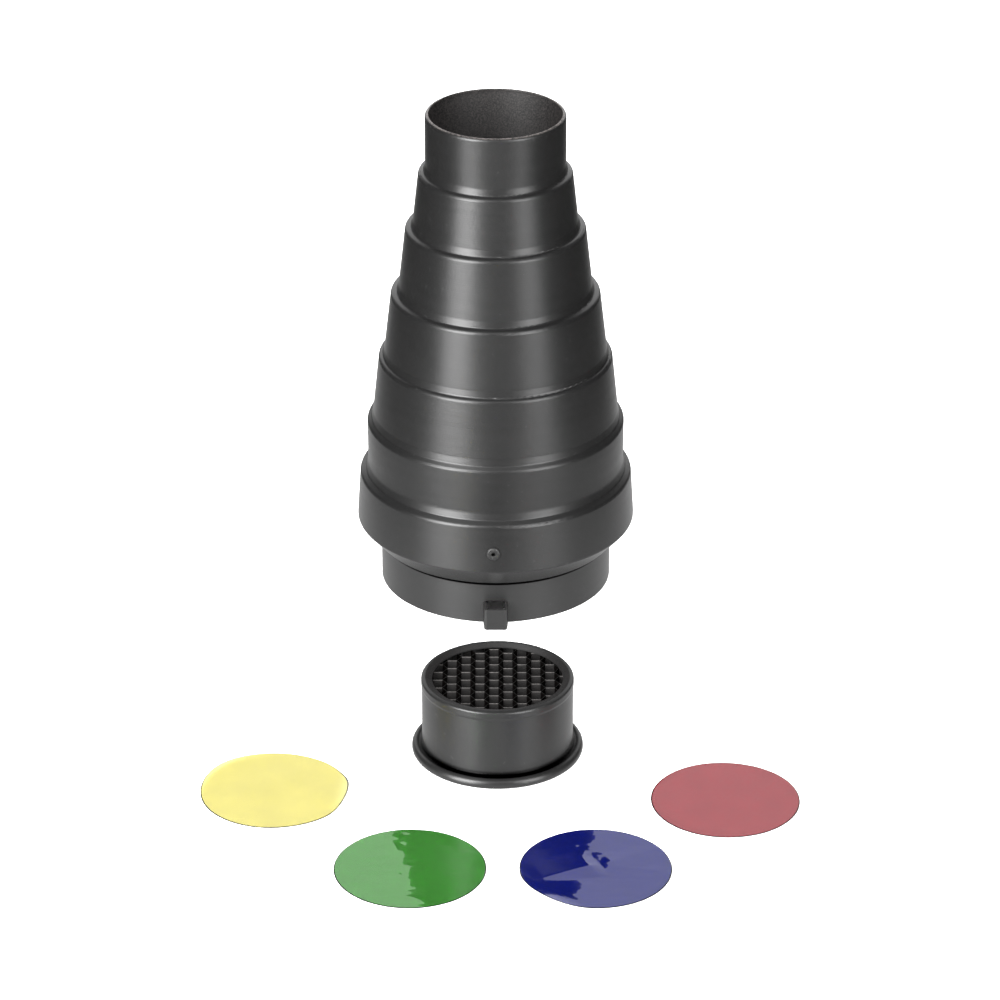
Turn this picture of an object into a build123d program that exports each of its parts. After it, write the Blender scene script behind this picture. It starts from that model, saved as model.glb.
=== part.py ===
"""A stepped conical snoot for a studio flash head, with its push-on grid cap and four colour gels.

The snoot stands on its mount ring with the mouth up. The cap and the gels stand on the same floor in
front of it. Millimetres, +Z up. The origin is on the snoot's axis, at the bottom edge of the mount ring.
"""
from build123d import *
import math
import os

# --- the two round interfaces: the collar takes the cap, the neck enters the flash head ---
collar_radius = 35.0
neck_radius = 58.5

# --- snoot shell: one spun sheet, six tiers above a base tier that is turned in under itself ---
sheet = 1.0
lip_width = 1.8
lip_round = 1.6
# from the mouth down: how far out the tier's top and bottom are, as shares of the way from the collar to the
# base tier, and the tier's length
tiers = [
    (0.0, 0.0, 30.0),
    (0.1, 0.182, 29.6),
    (0.297, 0.397, 34.9),
    (0.515, 0.618, 34.4),
    (0.703, 0.794, 33.9),
    (0.885, 0.879, 28.3),
]
base_length = 26.9
base_height = 34.0
base_taper = 1.5
# each tier's foot flares out a little, by a share of the ledge below it, before the ledge itself
foot_flare_share = 0.25
foot_flare_height = 3.5
foot_flare_round = 5.0
crease_round = 1.2
crease_round_limit = 0.42
shoulder_round = 2.2
shoulder_round_limit = 0.76
shoulder_fall = 0.8
wide_shoulder_fall = 2.1
wide_shoulders = (4, 5)
seat_width = 12.0
turned_in_gap = 2.4
turned_in_fall = 10.5
turned_in_round = 1.2

# worked out from the sizes above
base_radius_bottom = neck_radius + seat_width
base_radius_top = base_radius_bottom - base_taper
base_ledge = base_height + base_length
mouth_height = base_ledge + sum(length for _, _, length in tiers)

# --- mount ring: a pressed ring that seats inside the base tier and carries the bayonet lugs ---
ring_sheet = 1.5
seat_gap = 0.05
neck_round = 2.0
skirt_drop = 5.4
lug_count = 3
lug_angle = -90.0
lug_width = 11.4
lug_root_width = 12.8
lug_bite = 1.275
lug_reach = 8.3
lug_height = 11.2
lug_round = 1.5
window_width = 12.4
window_gap = 1.0
window_round = 2.6

# --- blind rivets: one above each lug, through the base tier and the skirt ---
rivet_rise = 10.5
rivet_turn = -0.9
rivet_shank = 4.0
rivet_hole_gap = 0.05
rivet_head = 6.8
rivet_head_height = 1.3
rivet_edge = 0.35
rivet_bulb = 6.0
rivet_bulb_length = 3.2
rivet_bulb_round = 1.2
stem_hole = 2.1
stem_recess = 1.9
stem_head = 3.2
stem_head_length = 1.4
stem_head_round = 0.64

# --- grid cap: pushes over the collar, with an inward lip in front and a rolled bead at its open end ---
cap_place = (1.0, -187.0)
cap_fit_gap = 0.25
cap_sheet = 0.85
cap_height = 39.5
cap_lip_reach = 5.0
lip_crown_inset = 1.7
lip_crown_round = 3.0
lip_fall_in = 1.2
lip_fall_out = 0.7
rim_swell = 0.3
rim_round = 0.9
rim_foot_round = 0.6
rim_depth = 3.6
rim_taper = 1.2
bead_reach = 4.9
bead_height = 4.8
bead_round = 2.3
bead_root_round = 1.8
bead_tuck = 1.5

# --- honeycomb core: foil ribbons bonded flat to flat, held up under the lip by a sprung wire ring ---
core_gap = 0.6
core_depth = 12.0
core_play = 0.3
foil = 0.15
cell = 7.7
cell_shift = -1.7
wire = 1.6
wire_gap = 0.05
wire_mouth = 14.0

# --- colour gels: round plastic sheets that lie loose, one colour at a time goes in the cap ---
gel_play = 0.25
gel_thickness = 0.4
gels = {
    "gel_yellow": (-104.0, -228.0),
    "gel_green": (-39.0, -299.0),
    "gel_blue": (46.0, -299.0),
    "gel_red": (108.0, -236.5),
}


def crossing(a, b, c, d):
    """Where the line through a and b meets the line through c and d."""
    ab = (b[0] - a[0], b[1] - a[1])
    cd = (d[0] - c[0], d[1] - c[1])
    cross = ab[0] * cd[1] - ab[1] * cd[0]
    along = ((c[0] - a[0]) * cd[1] - (c[1] - a[1]) * cd[0]) / cross
    return a[0] + ab[0] * along, a[1] + ab[1] * along


def parallel(corners, gap):
    """The corners of a line that runs a gap to the right of a line of (x, y, round) corners.

    A round keeps its centre, so a bend to the right gets tighter and a bend to the left gets wider.
    """
    sides = []
    for a, b in zip(corners, corners[1:]):
        run = math.hypot(b[0] - a[0], b[1] - a[1])
        right = ((b[1] - a[1]) / run * gap, -(b[0] - a[0]) / run * gap)
        sides.append(((a[0] + right[0], a[1] + right[1]), (b[0] + right[0], b[1] + right[1])))
    moved = [(*sides[0][0], 0)]
    for before, after, corner in zip(sides, sides[1:], corners[1:]):
        p = crossing(*before, *after)
        ahead = (before[1][0] - before[0][0], before[1][1] - before[0][1])
        turned = (after[1][0] - after[0][0], after[1][1] - after[0][1])
        bends_right = ahead[0] * turned[1] - ahead[1] * turned[0] < 0
        radius = corner[2] - gap if bends_right else corner[2] + gap
        moved.append((*p, max(radius, 0.1)))
    moved.append((*sides[-1][1], 0))
    return moved


def path(corners):
    """A line through (x, y, round) corners, with an arc at each inner one."""
    points = [(x, y) for x, y, _ in corners]
    rounds = [radius for _, _, radius in corners[1:-1]]
    if not any(rounds):
        return Polyline(*points)
    return FilletPolyline(*points, radius=rounds)


def strip(corners, thickness):
    """The face between a line of corners and the parallel line on its right."""
    other = parallel(corners, thickness)
    first = Line(corners[0][:2], other[0][:2])
    last = Line(corners[-1][:2], other[-1][:2])
    return make_face([*path(corners).edges(), *path(other).edges(), first, last])


def spun(corners, thickness):
    """A round shell of one thickness from its outer line, drawn from the top down."""
    return revolve(Plane.XZ * strip(corners, thickness), Axis.Z)


def tier_radius(share):
    """Outer radius at a share of the way out from the collar to the top of the base tier."""
    return collar_radius + share * (base_radius_top - collar_radius)


def shell_line():
    """The outer line of the snoot shell, from the lip of the mouth down to the turned-in edge."""
    height = mouth_height
    line = [(collar_radius - lip_width, height, 0), (collar_radius, height, lip_round)]
    tops = [tier_radius(top) for top, _, _ in tiers[1:]] + [base_radius_top]
    for number, ((_, bottom, length), next_top) in enumerate(zip(tiers, tops)):
        height -= length
        foot = tier_radius(bottom)
        ledge = next_top - foot
        if number in wide_shoulders:
            crest, fall = height, wide_shoulder_fall
        else:
            crest, fall = height + shoulder_fall / 2, shoulder_fall
        line.append((foot, crest + foot_flare_height, foot_flare_round))
        line.append((foot + foot_flare_share * ledge, crest, min(crease_round, crease_round_limit * ledge)))
        line.append((next_top, crest - fall, min(shoulder_round, shoulder_round_limit * ledge)))
    line.append((base_radius_bottom, base_height, turned_in_round))
    line.append((neck_radius + turned_in_gap, base_height - turned_in_fall, 0))
    return line


def base_tier_radius(height):
    """Outer radius of the base tier's tapered wall at a height."""
    top, bottom = shell_line()[-3:-1]
    return crossing(top[:2], bottom[:2], (0, height), (1, height))[0]


def ring_line():
    """The outer line of the mount ring: the base tier's inner line, then the neck down to the floor."""
    skirt_top = base_ledge - skirt_drop
    seat = [(base_tier_radius(skirt_top), skirt_top, 0), *shell_line()[-2:]]
    inside = parallel(seat, sheet + seat_gap)
    neck_top = crossing(inside[1][:2], inside[2][:2], (neck_radius, 0), (neck_radius, 1))
    return [*inside[:2], (*neck_top, neck_round), (neck_radius, 0, 0)]


def around(count, first):
    """The angles of equally spaced copies."""
    return [first + 360.0 / count * n for n in range(count)]


def rivet_frame(angle):
    """A plane on the base tier's wall at a rivet, with its z axis straight out of the wall."""
    height = base_height + rivet_rise
    fall = math.atan2(base_taper, shell_line()[-3][1] - base_height)
    out = Vector(math.cos(fall), 0, math.sin(fall)).rotate(Axis.Z, angle)
    centre = Vector(base_tier_radius(height), 0, height).rotate(Axis.Z, angle)
    return Plane(origin=centre, z_dir=out)


def at_rivets(piece):
    """Copies of a piece drawn on the wall's plane, one at each rivet."""
    return [rivet_frame(angle) * piece for angle in around(lug_count, lug_angle + rivet_turn)]


def rivet_hole():
    """The hole that one rivet passes through, long enough for both sheets."""
    reach = 2 * (sheet + ring_sheet + rivet_bulb_length)
    return Cylinder(rivet_shank / 2 + rivet_hole_gap, reach)


def snoot_shell():
    """The spun shell, with its rivet holes."""
    shell = spun(shell_line(), sheet)
    for hole in at_rivets(rivet_hole()):
        shell -= hole
    return shell


def lug():
    """One bayonet lug, pressed out of the neck: a bridge that is open at its top and bottom, towards +X."""
    root = neck_radius - lug_bite
    tip = neck_radius + lug_reach
    line = [
        (root, -lug_root_width / 2, 0),
        (tip, -lug_width / 2, lug_round),
        (tip, lug_width / 2, lug_round),
        (root, lug_root_width / 2, 0),
    ]
    return extrude(strip(line[::-1], ring_sheet), lug_height)


def lug_window():
    """The opening in the neck behind one lug, with round top corners and open at the ring's bottom edge."""
    top = lug_height + window_gap
    gate = Rectangle(window_width, 2 * top)
    gate = fillet(gate.vertices().group_by(Axis.Y)[-1], window_round)
    return Pos(neck_radius, 0, 0) * extrude(Plane.YZ * gate, 2 * ring_sheet, both=True)


def mount_ring():
    """The mount ring with its lugs, their windows and the rivet holes. Its seam is at the first lug."""
    ring = Rot(0, 0, lug_angle) * spun(ring_line(), ring_sheet)
    for angle in around(lug_count, lug_angle):
        ring -= Rot(0, 0, angle) * lug_window()
    for angle in around(lug_count, lug_angle):
        ring += Rot(0, 0, angle) * lug()
    for hole in at_rivets(rivet_hole()):
        ring -= hole
    return ring


def rivet():
    """The pieces of one set blind rivet: a domed head, a tube through both sheets, a bulb and the stem's hole."""
    grip = sheet + seat_gap + ring_sheet
    head = Pos(0, 0, rivet_head_height / 2 - rivet_edge) * Cylinder(rivet_head / 2, rivet_head_height)
    dome = head.edges().filter_by(GeomType.CIRCLE).sort_by(Axis.Z)[-1]
    head = fillet(dome, rivet_head_height - rivet_edge)
    tube = Pos(0, 0, -grip / 2) * Cylinder(rivet_shank / 2, grip + 2 * rivet_edge)
    bulb = Pos(0, 0, -grip - rivet_bulb_length / 2 + rivet_edge) * Cylinder(rivet_bulb / 2, rivet_bulb_length)
    bulb = fillet(bulb.edges().filter_by(GeomType.CIRCLE).sort_by(Axis.Z)[0], rivet_bulb_round)
    hole = Pos(0, 0, -grip / 2) * Cylinder(stem_hole / 2, grip + 2 * (rivet_head_height + rivet_bulb_length))
    return head, tube, bulb, hole


def rivets(shell, ring):
    """The three rivets. Head and bulb are pressed flat against the curved sheets."""
    head, tube, bulb, hole = rivet()
    done = []
    for frame in [rivet_frame(angle) for angle in around(lug_count, lug_angle + rivet_turn)]:
        done.append(((frame * head - shell) + frame * tube + (frame * bulb - ring)) - frame * hole)
    return Compound(children=done)


def rivet_stems():
    """What is left of the rivets' steel pins: a stub in the tube with its head behind the bulb."""
    grip = sheet + seat_gap + ring_sheet
    back = grip + rivet_bulb_length - rivet_edge
    length = back - stem_recess
    stub = Pos(0, 0, -stem_recess - length / 2) * Cylinder(stem_hole / 2 - rivet_hole_gap, length)
    head = Pos(0, 0, -back - stem_head_length / 2) * Cylinder(stem_head / 2, stem_head_length)
    head = fillet(head.edges().filter_by(GeomType.CIRCLE).sort_by(Axis.Z)[0], stem_head_round)
    return Compound(children=at_rivets(stub + head))


def cap_bore():
    """Inner radius of the grid cap, which slides over the collar."""
    return collar_radius + cap_fit_gap


def cap_line():
    """The outer line of the grid cap, from the edge of its opening down round the bead."""
    wall = cap_bore() + cap_sheet
    bead = wall + bead_reach
    rim = wall + rim_swell
    return [
        (wall - cap_lip_reach, cap_height - lip_fall_in, 0),
        (wall - lip_crown_inset, cap_height, lip_crown_round),
        (rim, cap_height - lip_fall_out, rim_round),
        (rim, cap_height - rim_depth, rim_foot_round),
        (wall, cap_height - rim_depth - rim_taper, rim_foot_round),
        (wall, bead_height, bead_root_round),
        (bead, bead_height, bead_round),
        (bead, 0, bead_round),
        (wall + bead_tuck, 0, 0),
    ]


def grid_cap():
    """The grid cap, on its own axis and standing on its bead."""
    return spun(cap_line(), cap_sheet)


def core_top():
    """Height of the honeycomb's upper edge, under the inner edge of the cap's lip."""
    return cap_height - lip_fall_in - cap_sheet - core_play


def foil_ribbon(row, middle_row):
    """One corrugated foil ribbon along X, trimmed to the round core."""
    edge = cell / math.sqrt(3)
    pitch = edge * 1.5
    rise = cell / 4 - foil / 2
    column_count = 2 * math.ceil(cap_bore() / pitch) + 1
    corners = []
    for column in range(-column_count, column_count + 1):
        side = 1 if (column + row - middle_row) % 2 else -1
        x = cell_shift + column * pitch
        corners.append((x - edge / 2, side * rise, 0))
        corners.append((x + edge / 2, side * rise, 0))
    middle = [(x, y, 0) for x, y, _ in parallel(corners, -foil / 2)]
    ribbon = extrude(strip(middle, foil), core_depth)
    ribbon = Pos(0, (row - middle_row) * cell / 2 + cell / 4, 0) * ribbon
    radius = cap_bore() - core_gap
    trimmed = ribbon & Pos(0, 0, core_depth / 2) * Cylinder(radius, core_depth)
    crumb = edge * foil * core_depth
    kept = [solid for solid in trimmed.solids() if solid.volume > crumb]
    return Pos(0, 0, core_top() - core_depth) * Compound(children=kept)


def core_ribbons():
    """Every foil ribbon of the honeycomb, from the front to the back."""
    row_count = 2 * math.floor((cap_bore() - core_gap) / (cell / 2) - 0.5) + 2
    return [foil_ribbon(row, row_count // 2) for row in range(row_count)]


def retaining_ring():
    """The sprung wire ring that holds the honeycomb up, with its open ends at the back."""
    middle = cap_bore() - wire / 2 - wire_gap
    half_gap = math.degrees(math.asin(wire_mouth / 2 / middle))
    arc = CenterArc((0, 0), middle, 90 + half_gap, 360 - 2 * half_gap)
    start = Plane(origin=arc @ 0, z_dir=arc % 0)
    ring = sweep(start * Circle(wire / 2), path=arc)
    return Pos(0, 0, core_top() - core_depth - core_play - wire / 2) * ring


def gel(place):
    """One gel, flat on the floor."""
    disc = Cylinder(cap_bore() - gel_play, gel_thickness)
    return Pos(*place, gel_thickness / 2) * disc


def build():
    """Every node of the snoot, by name."""
    shell = snoot_shell()
    ring = mount_ring()
    at_cap = Pos(*cap_place, 0)
    nodes = {
        "snoot_shell": shell,
        "mount_ring": ring,
        "blind_rivets": rivets(shell, ring),
        "rivet_stems": rivet_stems(),
        "grid_cap": at_cap * grid_cap(),
        "retaining_ring": at_cap * retaining_ring(),
    }
    for number, ribbon in enumerate(core_ribbons(), start=1):
        nodes[f"foil_ribbon_{number:02d}"] = at_cap * ribbon
    for name, place in gels.items():
        nodes[name] = gel(place)
    return nodes


os.makedirs("parts", exist_ok=True)
for name, node in build().items():
    export_step(node, f"parts/{name}.step")
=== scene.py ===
# %% [markdown]
# # A stepped snoot, its grid cap and four colour gels
#
# A snoot is a cone that narrows the light of a studio flash to a small round beam. This one is a single
# sheet spun into steps. A pressed ring rivetted into its wide end locks into the flash head. The short cap
# in front of it holds a honeycomb grid and pushes over the mouth, and a round colour gel can lie inside it.
#
# The sizes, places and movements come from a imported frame, which is loaded first and never changed. This
# script adds what the frame doesn't have: the finishes, the loose films as they really lie, the light and
# the camera.

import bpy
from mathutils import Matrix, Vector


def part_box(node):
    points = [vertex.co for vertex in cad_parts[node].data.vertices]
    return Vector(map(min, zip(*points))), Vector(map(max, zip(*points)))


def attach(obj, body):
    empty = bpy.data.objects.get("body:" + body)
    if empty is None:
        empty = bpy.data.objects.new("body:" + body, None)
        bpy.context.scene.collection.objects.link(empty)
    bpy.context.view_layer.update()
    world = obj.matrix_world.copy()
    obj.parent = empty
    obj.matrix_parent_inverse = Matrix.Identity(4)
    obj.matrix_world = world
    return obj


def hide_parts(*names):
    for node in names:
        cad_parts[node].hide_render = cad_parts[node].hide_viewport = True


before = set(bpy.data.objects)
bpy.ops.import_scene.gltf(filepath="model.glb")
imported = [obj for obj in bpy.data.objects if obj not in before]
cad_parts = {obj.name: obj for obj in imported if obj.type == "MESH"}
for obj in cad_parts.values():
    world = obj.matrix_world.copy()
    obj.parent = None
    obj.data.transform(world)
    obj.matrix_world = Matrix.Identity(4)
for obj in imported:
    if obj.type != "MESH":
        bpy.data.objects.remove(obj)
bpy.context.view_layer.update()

# %% The tools this lesson uses
import math

import bmesh
import bpy
from mathutils import Vector, noise

scene = bpy.context.scene
MM = 0.001

# %% [markdown]
# ## The camera
#
# A long lens from far away keeps the steps of the cone nearly parallel, as a catalogue picture does. The
# camera looks down a little, so that the round mouth and the honeycomb both show.

# %% Put the camera in place
LOOK_DOWN = math.radians(26.4)
CAMERA_PLACE = (0.0022, -2.1045, 1.0845)
LENS = 165.2
SENSOR = 36.0

camera_data = bpy.data.cameras.new("camera")
camera_data.lens = LENS
camera_data.sensor_width = SENSOR
camera = bpy.data.objects.new("camera", camera_data)
camera.location = CAMERA_PLACE
camera.rotation_euler = (math.pi / 2 - LOOK_DOWN, 0, 0)
scene.collection.objects.link(camera)
scene.camera = camera
scene.view_settings.view_transform = "Standard"
print("the camera is", round(camera.location.length, 2), "m from the snoot's foot")

# %% [markdown]
# ## Shader maths written as Python
#
# A shader is a web of small nodes, and sums are the tedious part of it. A small class wraps one output of a
# node, so that `1 - mask * 0.5` makes the Math nodes itself. A second class stands for one material: its
# `node` method adds any node, sets it up and wires its inputs.

# %% A socket that Python's signs work on
class Wire:
    """One node output, with the signs of ordinary sums."""

    def __init__(self, finish, socket):
        self.finish = finish
        self.socket = socket

    def sum(self, operation, *values):
        return self.finish.node("ShaderNodeMath", {"operation": operation}, dict(enumerate(values)))

    def __add__(self, other):
        return self.sum("ADD", self, other)

    def __sub__(self, other):
        return self.sum("SUBTRACT", self, other)

    def __rsub__(self, other):
        return self.sum("SUBTRACT", other, self)

    def __mul__(self, other):
        return self.sum("MULTIPLY", self, other)

    def __truediv__(self, other):
        return self.sum("DIVIDE", self, other)

    def __pow__(self, other):
        return self.sum("POWER", self, other)

    __radd__ = __add__
    __rmul__ = __mul__

    def between(self, low, high):
        """0 below low, 1 above high, smooth in between. With high under low it falls instead."""
        inputs = {"Value": self, "From Min": low, "From Max": high}
        if low > high:
            inputs = {"Value": self, "From Min": high, "From Max": low, "To Min": 1.0, "To Max": 0.0}
        return self.finish.node("ShaderNodeMapRange", {"interpolation_type": "SMOOTHSTEP"}, inputs)


# %% A material that nodes are added to
class Finish:
    """A material with one Principled shader, and a method that adds any node to it."""

    def __init__(self, name, **uniform):
        self.material = bpy.data.materials.new(name)
        self.material.use_nodes = True
        self.tree = self.material.node_tree
        self.shader = self.tree.nodes["Principled BSDF"]
        for socket, value in uniform.items():
            self.shader.inputs[socket.replace("_", " ")].default_value = value

    def wire_up(self, socket, value):
        if isinstance(value, Wire):
            self.tree.links.new(value.socket, socket)
        else:
            socket.default_value = value

    def node(self, kind, settings=None, inputs=None, output=0):
        """Adds a node, sets it up, gives its inputs values or wires, and returns one output."""
        made = self.tree.nodes.new(kind)
        for key, value in (settings or {}).items():
            setattr(made, key, value)
        for key, value in (inputs or {}).items():
            self.wire_up(made.inputs[key], value)
        return Wire(self, made.outputs[output])

    def drive(self, socket, value):
        """Wires a varying value to one input of the shader."""
        self.wire_up(self.shader.inputs[socket], value)

    def place(self):
        """Where a point is, in metres, in the frame that every piece shares."""
        return self.node("ShaderNodeTexCoord", output="Object")

    def parts(self, vector):
        """The three numbers of a vector."""
        made = self.tree.nodes.new("ShaderNodeSeparateXYZ")
        self.wire_up(made.inputs[0], vector)
        return [Wire(self, output) for output in made.outputs]

    def vector(self, x, y, z):
        return self.node("ShaderNodeCombineXYZ", inputs={0: x, 1: y, 2: z})

    def grain(self, vector, scale, detail=2.0, roughness=0.5):
        """Soft noise from 0 to 1. The scale is in spots for each metre."""
        inputs = {"Vector": vector, "Scale": scale, "Detail": detail, "Roughness": roughness}
        return self.node("ShaderNodeTexNoise", inputs=inputs)

    def blend(self, factor, first, second):
        """A mix of two colours."""
        return self.node("ShaderNodeMix", {"data_type": "RGBA"}, {0: factor, 6: first, 7: second}, output=2)

    def bump(self, height, distance):
        """A bump whose height runs from 0 to 1 and stands for a distance in metres."""
        inputs = {"Height": height, "Distance": distance, "Strength": 1.0}
        self.drive("Normal", self.node("ShaderNodeBump", inputs=inputs))


def grey(value):
    """A neutral colour."""
    return (value, value, value, 1.0)


# %% [markdown]
# ## Satin black paint on spun sheet
#
# The shell, the ring and the cap are turned on a lathe before they are painted. The roller leaves fine rings
# round the axis that the paint doesn't fill, so light smears up and down and hardly sideways. The rings are
# noise that only changes along the height and the radius, and an anisotropic gloss does the smearing. Inside,
# the paint is a rough, matt black that swallows stray light. The mouth's edge is rubbed a little, and its
# bare band also stands in for the rim's highlight, a painted highlight. Two narrow gaps get painted shade, a
# band
# that gives back no light: the one under the shell's turned-in edge and the one at the root of the cap's
# bead.

# %% Coordinates round an axis
def round_axis(finish, centre):
    """The place measured from an upright axis: height, radius, and 1 on faces that look at the axis."""
    x, y, height = finish.parts(finish.place())
    x = x - centre.x
    y = y - centre.y
    radius = (x * x + y * y) ** 0.5
    nx, ny, _ = finish.parts(finish.node("ShaderNodeTexCoord", output="Normal"))
    inside = ((nx * x + ny * y) / radius).between(0.02, -0.02)
    return height, radius, inside


# %% What the paint is measured from
snoot_axis = Vector((0.0, 0.0, 0.0))
cap_low, cap_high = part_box("grid_cap")
cap_axis = (cap_low + cap_high) / 2
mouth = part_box("snoot_shell")[1].z
print("the mouth is", round(mouth / MM, 1), "mm up, and the cap's axis is at", cap_axis.x, cap_axis.y)

# %% The paint
LATHE_LINES = 2600.0
LATHE_WAVES = 260.0
MOTTLE = 45.0
SPECKLE = 1300.0
DUST = 420.0
SMEAR = 0.55
# The mouth's rubbed band and its bare steel colour, which also paint the rim's highlight.
WORN_AND_HIGHLIT_RIM = 0.5 * MM
RELIEF = 0.08 * MM
SOOT = (0.003, 0.0028, 0.0028, 1)
BARE_STEEL_AND_HIGHLIGHT = (0.11, 0.095, 0.09, 1)


def satin_black(name, centre, tone, gloss, lines, inner_tone, painted_gap_shade=None):
    """Black satin paint on turned sheet: rough inside, rubbed at the mouth with a painted highlight, painted
    shade in a gap.
    """
    paint = Finish(name, Anisotropic=SMEAR, Anisotropic_Rotation=0.25, IOR=1.5)
    height, radius, inside = round_axis(paint, centre)
    along = paint.vector(0.0, 0.0, height + radius * 0.6)
    fine = paint.grain(along, LATHE_LINES, 3.0, 0.7)
    broad = paint.grain(along, LATHE_WAVES, 2.0, 0.5)
    mottle = paint.grain(paint.place(), MOTTLE, 3.0, 0.55)
    speckle = paint.grain(paint.place(), SPECKLE, 2.0, 0.6)
    dust = paint.grain(paint.place(), DUST, 1.0, 0.4).between(0.74, 0.8)
    # Bare steel spots at the mouth's edge: wear, and a painted highlight along the rim.
    rubbed = height.between(mouth - WORN_AND_HIGHLIT_RIM, mouth) * speckle.between(0.35, 0.6)

    shade = (mottle - 0.5) * 0.25 + (broad - 0.5) * 0.2 + 1.0
    outer = paint.blend(dust * 0.35, grey(tone), grey(tone * 4))
    outer = paint.node("ShaderNodeVectorMath", {"operation": "SCALE"}, {0: outer, "Scale": shade})
    brown = (inner_tone, inner_tone * 0.87, inner_tone * 0.84, 1)
    inner = paint.blend(speckle.between(0.35, 0.7), SOOT, brown)
    colour = paint.blend(rubbed * 0.7, paint.blend(inside, outer, inner), BARE_STEEL_AND_HIGHLIGHT)
    if painted_gap_shade:
        # Painted shade: a metal of no colour gives back no light at all, so this band is as black as the
        # shade in a deep gap.
        dark = painted_gap_shade(height, radius)
        colour = paint.blend(dark, colour, grey(0.0))
        paint.drive("Metallic", dark)
    paint.drive("Base Color", colour)

    sheen = gloss + (mottle - 0.5) * 0.06 + (broad - 0.5) * 0.08 + (fine - 0.5) * 0.1
    paint.drive("Roughness", sheen + inside * 0.3)
    turned = fine * 0.5 + broad * 0.5
    paint.bump(turned * lines * (1 - inside) + speckle * (inside * 2.0 + 0.12), RELIEF)
    return paint.material


# %% The painted shade in two gaps
SKIRT_SHADE_LOW = (20.9 * MM, 21.2 * MM)
SKIRT_SHADE_HIGH = (24.5 * MM, 24.3 * MM)
BEAD_REACH = 4.9 * MM
BEAD_SHADE_HEIGHT = (8.0 * MM, 5.6 * MM)
BEAD_SHADE_WIDTH = (2.6 * MM, 1.6 * MM)

wall_radius = (cap_high.x - cap_low.x) / 2 - BEAD_REACH


def shade_under_the_skirt(height, radius):
    """Painted shade in the gap behind the shell's turned-in edge, a band that takes no light."""
    return height.between(*SKIRT_SHADE_LOW) * height.between(*SKIRT_SHADE_HIGH)


def shade_at_the_bead_root(height, radius):
    """Painted shade in the narrow groove between the cap's wall and the bead at its foot."""
    out_from_wall = radius - wall_radius
    return height.between(*BEAD_SHADE_HEIGHT) * out_from_wall.between(*BEAD_SHADE_WIDTH)


print("the cap's wall has a radius of", round(wall_radius / MM, 1), "mm")


# %% Give the shell, the ring and the cap their paint
def dress(node, material):
    """Puts one material on a node of the frame."""
    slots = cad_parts[node].material_slots
    for slot in slots:
        slot.material = material
    if not slots:
        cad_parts[node].data.materials.append(material)


shell_black = satin_black("shell_black", snoot_axis, tone=0.006, gloss=0.38, lines=1.4, inner_tone=0.022)
# The ring and the cap take the painted shade of their gaps.
ring_black = satin_black(
    "ring_black", snoot_axis, tone=0.008, gloss=0.42, lines=0.7, inner_tone=0.01, painted_gap_shade=shade_under_the_skirt
)
cap_black = satin_black(
    "cap_black", cap_axis, tone=0.007, gloss=0.38, lines=0.6, inner_tone=0.006, painted_gap_shade=shade_at_the_bead_root
)
dress("snoot_shell", shell_black)
dress("mount_ring", ring_black)
dress("grid_cap", cap_black)
print("painted sheets:", shell_black.name, ring_black.name, cap_black.name)

# %% [markdown]
# ## Rivets, honeycomb and spring
#
# The rivets are black aluminium that has been pulled tight, so their rims are rubbed bright. The honeycomb is
# thin foil, coated black before it was cut, and its cut edges show the metal. The ring that holds it up is
# spring wire with a dark scale on it.

# %% Small metal
def rubbed_metal(name, tone, bare, gloss, spots):
    """Dark coated metal whose coating is rubbed through in places."""
    metal = Finish(name, IOR=1.5)
    worn = metal.grain(metal.place(), spots, 4.0, 0.6).between(0.52, 0.7)
    metal.drive("Base Color", metal.blend(worn, grey(tone), grey(bare)))
    metal.drive("Metallic", worn * 0.8)
    metal.drive("Roughness", gloss + metal.grain(metal.place(), spots * 2, 2.0) * 0.15)
    metal.bump(metal.grain(metal.place(), spots * 3, 2.0), 0.03 * MM)
    return metal.material


# %% Coated foil
CUT_FACE = (0.04 * MM, 0.01 * MM)
FOIL_WORN = 0.5 * MM
FOIL_DARK = (0.002, 0.0018, 0.0018, 1)
FOIL_LIGHT = (0.008, 0.0065, 0.006, 1)
FOIL_BARE = (0.19, 0.177, 0.171, 1)


def black_foil(top):
    """Foil coated black, with bare metal along its upper cut edge. Slanted walls get painted shade for the
    cells' shadow.
    """
    foil = Finish("foil_black", IOR=1.5)
    _, _, height = foil.parts(foil.place())
    _, ny, _ = foil.parts(foil.node("ShaderNodeTexCoord", output="Normal"))
    bonded = (ny * ny).between(0.9, 0.98)
    cut = height.between(top - CUT_FACE[0], top - CUT_FACE[1])
    blotch = foil.grain(foil.place(), 500.0, 3.0, 0.6)
    coat = foil.blend(blotch, FOIL_DARK, FOIL_LIGHT)
    rubbed = height.between(top - FOIL_WORN, top) * bonded * blotch
    foil.drive("Base Color", foil.blend(rubbed, foil.blend(cut * 0.5, coat, grey(0.08)), FOIL_BARE))
    # Painted shade: slanted walls become metal of almost no colour and give back almost no light.
    foil.drive("Metallic", 1 - bonded * 0.9)
    foil.drive("Roughness", 0.62 + blotch * 0.15)
    foil.bump(foil.grain(foil.place(), 900.0, 2.0), 0.1 * MM)
    return foil.material


# %% Dress the small parts
foil_names = [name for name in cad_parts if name.startswith("foil_ribbon")]
foil_top = max(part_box(name)[1].z for name in foil_names)
foil_finish = black_foil(foil_top)
for name in foil_names:
    dress(name, foil_finish)
dress("blind_rivets", rubbed_metal("rivet_black", tone=0.008, bare=0.06, gloss=0.36, spots=700.0))
dress("rivet_stems", rubbed_metal("stem_steel", tone=0.06, bare=0.25, gloss=0.4, spots=900.0))
dress("retaining_ring", rubbed_metal("spring_black", tone=0.03, bare=0.1, gloss=0.4, spots=500.0))
print("foil ribbons:", len(foil_names), "with their upper edge at", round(foil_top / MM, 2), "mm")

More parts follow.
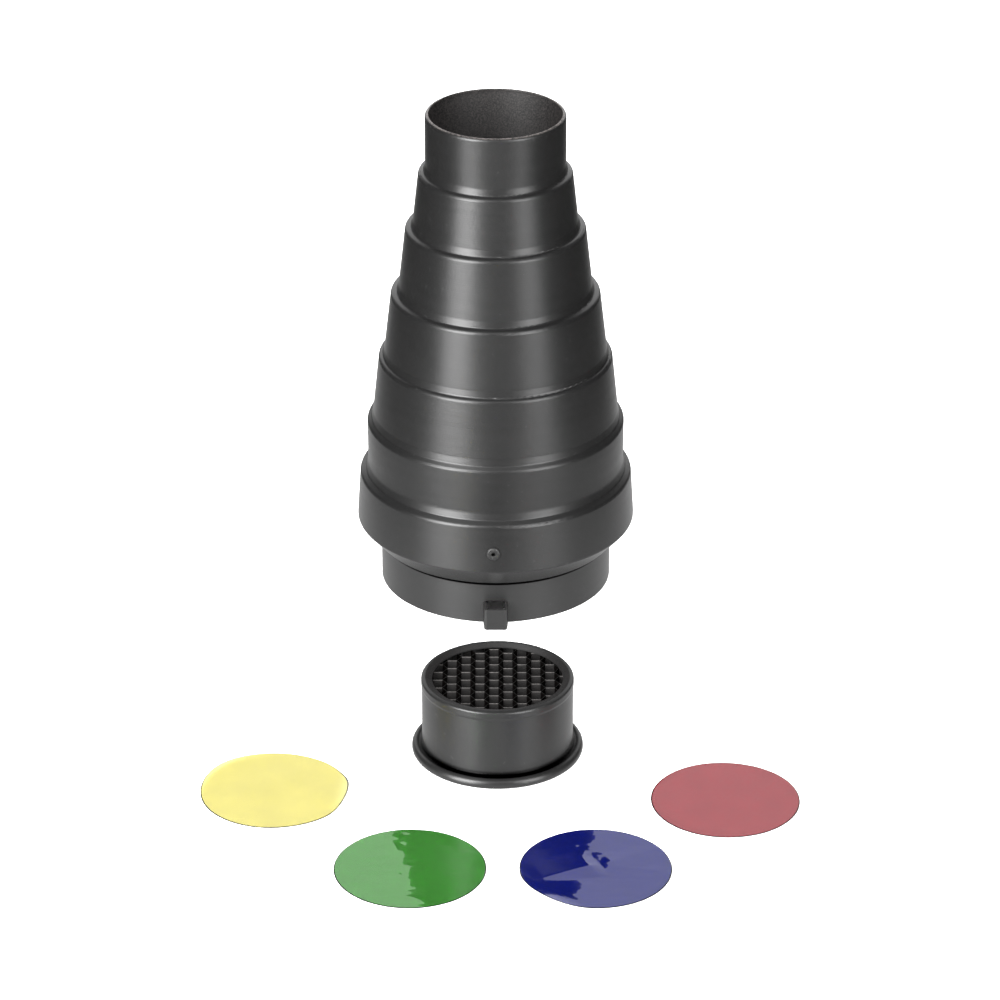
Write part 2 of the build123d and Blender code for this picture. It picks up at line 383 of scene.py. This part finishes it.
# %% [markdown]
# ## The colour gels
#
# A gel is a thin sheet of dyed polyester, cut to a disc and never quite flat again: it was rolled, so it
# curls at the rim, and it has been handled, so it has dents and creases. What shows is mostly what it
# reflects, and a mirror makes a bump of a hundredth of a millimetre plain. So each film is a fine disc whose
# height is worked out point by point.

# %% A disc made by spinning a row of points
def film_disc(radius, rings, spokes):
    """A flat disc of quads round the origin, from one radius spun through a full turn."""
    sheet = bmesh.new()
    row = [sheet.verts.new((radius * n / rings, 0, 0)) for n in range(rings + 1)]
    radial = [sheet.edges.new(pair) for pair in zip(row, row[1:])]
    full_turn = {"cent": (0, 0, 0), "axis": (0, 0, 1), "angle": 2 * math.pi}
    bmesh.ops.spin(sheet, geom=row + radial, steps=spokes, use_merge=True, **full_turn)
    bmesh.ops.remove_doubles(sheet, verts=sheet.verts, dist=1e-6)
    bmesh.ops.recalc_face_normals(sheet, faces=sheet.faces)
    return sheet


# %% How high a film lies
RIDGE_TAPER = 0.75
RIDGE_END = 0.15
BROAD_WAVES = 1.4
UPLIFT = 0.6
RIPPLES = (4, 9)
CRINKLES = (2, 16)


def ridge(x, y, start, direction, below, above, rise, length):
    """A straight fold that dies out, with a sharp crest and its own width on each side."""
    x, y = x - start[0], y - start[1]
    along = (x * math.cos(direction) + y * math.sin(direction)) / length
    across = x * math.sin(direction) - y * math.cos(direction)
    if not 0 < along < 1:
        return 0.0
    narrowed = 1 - RIDGE_TAPER * along
    side = above if across > 0 else below * narrowed
    slope = max(0.0, 1 - abs(across) / side)
    return rise * narrowed * slope * min(1.0, along / RIDGE_END) * min(1.0, (1 - along) / RIDGE_END)


def dent(x, y, centre, width, depth):
    """A small round dent."""
    return -depth / (1 + ((x - centre[0]) ** 2 + (y - centre[1]) ** 2) / width**2)


def film_height(point, radius, curl, waves, ripple, seed, ridges, dents):
    """Height of a film over the floor, in metres. Places and widths on it are in shares of its radius."""
    x, y = point.x / radius, point.y / radius
    height = waves * (noise.noise(Vector((x * BROAD_WAVES, y * BROAD_WAVES, seed))) + UPLIFT)
    height += ripple * noise.noise(Vector((x * RIPPLES[0], y * RIPPLES[1], seed + 9)))
    height += ripple * 0.5 * noise.noise(Vector((x * CRINKLES[0], y * CRINKLES[1], seed + 17)))
    for direction, amount, begins in curl:
        out = x * math.cos(direction) + y * math.sin(direction)
        height += amount * max(0.0, out - begins) ** 2
    for shape in ridges:
        height += ridge(x, y, *shape)
    for shape in dents:
        height += dent(x, y, *shape)
    return height


# %% The dyed film
PALER = 1.15


def film(name, colour, haze):
    """Dyed clear plastic. The same colour is met going in and coming out of the sheet."""
    dyed = Finish(name, IOR=1.5, Transmission_Weight=1.0)
    cloud = dyed.grain(dyed.place(), 60.0, 2.0)
    pale = tuple(PALER * part for part in colour)
    dyed.drive("Base Color", dyed.blend(cloud, (*colour, 1), (*pale, 1)))
    dyed.drive("Roughness", haze + dyed.grain(dyed.place(), 300.0, 2.0) * 0.02)
    return dyed.material


# %% Make a film where its disc lies
FILM_THICKNESS = 0.06 * MM
FILM_RINGS = 44
FILM_SPOKES = 144
FILM_CLEARANCE = 0.02 * MM


def lay_film(colour_name, colour, haze, waves, ripple, seed, curl=(), ridges=(), dents=()):
    """Makes one gel where its disc lies in the frame."""
    node = f"gel_{colour_name}"
    low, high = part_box(node)
    radius = (high.x - low.x) / 2
    sheet = film_disc(radius, FILM_RINGS, FILM_SPOKES)
    heights = [film_height(v.co, radius, curl, waves, ripple, seed, ridges, dents) for v in sheet.verts]
    lift = low.z + FILM_CLEARANCE - min(heights)
    for v, height in zip(sheet.verts, heights):
        v.co = ((low.x + high.x) / 2 + v.co.x, (low.y + high.y) / 2 + v.co.y, lift + height)
    mesh = bpy.data.meshes.new(f"{colour_name}_film")
    sheet.to_mesh(mesh)
    sheet.free()
    mesh.shade_smooth()
    gel = bpy.data.objects.new(f"{colour_name}_film", mesh)
    scene.collection.objects.link(gel)
    mesh.materials.append(film(f"{colour_name}_film", colour, haze))
    thickness = gel.modifiers.new("thickness", "SOLIDIFY")
    thickness.thickness = FILM_THICKNESS
    thickness.offset = 1.0
    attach(gel, node)
    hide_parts(node)
    rise = max(heights) - min(heights)
    print(gel.name, "radius", round(radius / MM, 1), "mm, rises", round(rise / MM, 2), "mm")


# %% [markdown]
# Each film below has its dye, then its broad waves and fine ripples in metres. A curl is a direction, an
# amount and the share of the radius where it begins. A dent is a place, a width and a depth. A ridge is a
# start, a direction, its widths below and above the crest, a rise and a length. The blue film was pinched
# once, and three straight ridges run out from that pucker.

# %% Lay the yellow and the green film
lay_film(
    "yellow", colour=(0.5, 0.46, 0.145), haze=0.02, waves=0.0003, ripple=0.00001, seed=3.1,
    curl=[(math.radians(-5), 0.06, 0.78), (math.radians(140), 0.004, 0.4)],
)
lay_film(
    "green", colour=(0.062, 0.225, 0.045), haze=0.01, waves=0.00006, ripple=0.00004, seed=7.7,
    dents=[((-0.12, 0.62), 0.05, 0.00008), ((-0.1, 0.84), 0.06, 0.0001), ((-0.1, -0.12), 0.04, 0.00006)],
)

# %% Lay the blue and the red film
PUCKER = (0.05, 0.09)

lay_film(
    "blue", colour=(0.007, 0.013, 0.15), haze=0.01, waves=0.00004, ripple=0.00003, seed=12.3,
    curl=[(math.radians(225), 0.02, 0.75)],
    ridges=[
        (PUCKER, math.radians(203), 0.32, 0.45, 0.0010, 0.95),
        (PUCKER, math.radians(-12), 0.3, 0.3, 0.00015, 1.1),
        (PUCKER, math.radians(28), 0.3, 0.3, 0.0002, 1.1),
    ],
    dents=[((-0.08, 0.3), 0.06, 0.0001), ((-0.1, 0.12), 0.05, 0.00008), ((-0.2, 0.55), 0.05, 0.00008)],
)
lay_film(
    "red", colour=(0.25, 0.02, 0.032), haze=0.03, waves=0.0001, ripple=0.00001, seed=20.9,
    dents=[((-0.3, 0.02), 0.05, 0.00002)],
)

# %% [markdown]
# ## The floor and the light
#
# Black paint shows little but what it reflects, so the lights are placed for their reflections: the side
# boxes make the two upright streaks, the top box lights the steps between them, and the wall makes the bright
# rims. The floor gives light of its own except inside the snoot and the cap, where it would leak out of the
# honeycomb; there it is left dark, a painted shade for the shadow inside them.

# %% The floor
def stage_board(name, width, depth, card):
    """A flat plain board on the floor, centred on the snoot."""
    board = bmesh.new()
    bmesh.ops.create_grid(board, x_segments=1, y_segments=1, size=0.5)
    bmesh.ops.scale(board, vec=(width, depth, 1), verts=board.verts)
    mesh = bpy.data.meshes.new(name)
    board.to_mesh(mesh)
    board.free()
    made = bpy.data.objects.new(name, mesh)
    scene.collection.objects.link(made)
    mesh.materials.append(card.material)
    return made


FLOOR_GLOW = 0.8
NECK_BORE = 57 * MM
CAP_BORE = 35 * MM
SOFT_EDGE = 3 * MM

floor_white = Finish("floor_white", Base_Color=grey(0.8), Roughness=0.9, Emission_Strength=FLOOR_GLOW)
_, from_snoot, _ = round_axis(floor_white, snoot_axis)
_, from_cap, _ = round_axis(floor_white, cap_axis)
outside_snoot = from_snoot.between(NECK_BORE - SOFT_EDGE, NECK_BORE)
outside_cap = from_cap.between(CAP_BORE - SOFT_EDGE, CAP_BORE)
# The floor's glow is off inside the snoot's and the cap's bores: painted shade under them.
lit = outside_snoot * outside_cap
floor_white.drive("Emission Color", floor_white.blend(lit, grey(0.0), grey(1.0)))
floor = stage_board("floor", 8.0, 8.0, floor_white)
floor.location.z = -0.1 * MM
floor.visible_glossy = False
print("the floor glows at", FLOOR_GLOW, "and lies at", round(floor.location.z / MM, 2), "mm")

# %% [markdown]
# A whole white floor would fill every downward reflection with light. So shiny surfaces see a smaller table
# in its place, bright in the middle and dark to the sides.

# %% What the paint sees of the floor
TABLE_WHITE = 1.1
TABLE_EDGE = 0.34
TABLE_MIDDLE = 0.1
TABLE_DARK = 0.02

table = Finish("table_light", Base_Color=grey(0.0), Roughness=1.0, Emission_Strength=TABLE_WHITE)
across, _, _ = table.parts(table.place())
to_the_side = (across * across) ** 0.5
fade = to_the_side.between(TABLE_MIDDLE, TABLE_EDGE)
table.drive("Emission Color", table.blend(fade, grey(1.0), grey(TABLE_DARK)))
reflected_table = stage_board("reflected_table", 1.0, 2.2, table)
reflected_table.location.z = -0.2 * MM
reflected_table.visible_camera = False
reflected_table.visible_diffuse = False
reflected_table.visible_transmission = False
reflected_table.visible_shadow = False
print("the reflected table fades out", TABLE_EDGE, "m from the middle")

# %% [markdown]
# Each light is a flat panel. Its brightness is what a mirror would show of it, so a larger panel needs more
# power for the same look.

# %% The lights
def soft_box(name, turn, distance, height, aim, size, brightness):
    """An even upright light, at an angle from straight in front, turned to face a height on the axis."""
    lamp = bpy.data.lights.new(name, "AREA")
    lamp.shape = "RECTANGLE"
    lamp.size, lamp.size_y = size
    lamp.energy = brightness * math.pi * lamp.size * lamp.size_y
    made = bpy.data.objects.new(name, lamp)
    place = Vector((math.sin(turn) * distance, -math.cos(turn) * distance, height))
    made.location = place
    made.rotation_euler = (Vector((0, 0, aim)) - place).to_track_quat("-Z", "Y").to_euler()
    made.visible_camera = False
    scene.collection.objects.link(made)
    print(name, "stands", distance, "m away and gives", round(lamp.energy, 1), "W")


soft_box("left_box", math.radians(-40), distance=1.5, height=0.7, aim=0.15, size=(0.8, 1.6), brightness=22.0)
soft_box("right_box", math.radians(41), distance=1.5, height=0.7, aim=0.15, size=(0.7, 1.6), brightness=9.5)
soft_box("wall", math.radians(180), distance=1.3, height=0.8, aim=0.5, size=(1.8, 1.4), brightness=1.5)
soft_box("top_box", math.radians(0), distance=0.9, height=1.3, aim=0.15, size=(1.4, 0.7), brightness=1.6)

# %% [markdown]
# The room is white all round, but the black paint must not mirror it. The Light Path node tells a mirrored
# ray from the others, and the room is nearly dark to it.

# %% The room
ROOM_LIGHT = 1.2
ROOM_MIRRORED = 0.02

world = bpy.data.worlds.new("studio")
world.use_nodes = True
scene.world = world
room = world.node_tree
ray = room.nodes.new("ShaderNodeLightPath")
mirrored = room.nodes.new("ShaderNodeMath")
mirrored.operation = "MULTIPLY"
room.links.new(ray.outputs["Is Glossy Ray"], mirrored.inputs[0])
room.links.new(ray.outputs["Is Reflection Ray"], mirrored.inputs[1])
level = room.nodes.new("ShaderNodeMapRange")
level.inputs["To Min"].default_value = ROOM_LIGHT
level.inputs["To Max"].default_value = ROOM_MIRRORED
room.links.new(mirrored.outputs[0], level.inputs["Value"])
room.links.new(level.outputs[0], room.nodes["Background"].inputs["Strength"])
room.nodes["Background"].inputs["Color"].default_value = grey(1.0)
print("the room gives", ROOM_LIGHT, "and shows in the paint as", ROOM_MIRRORED)
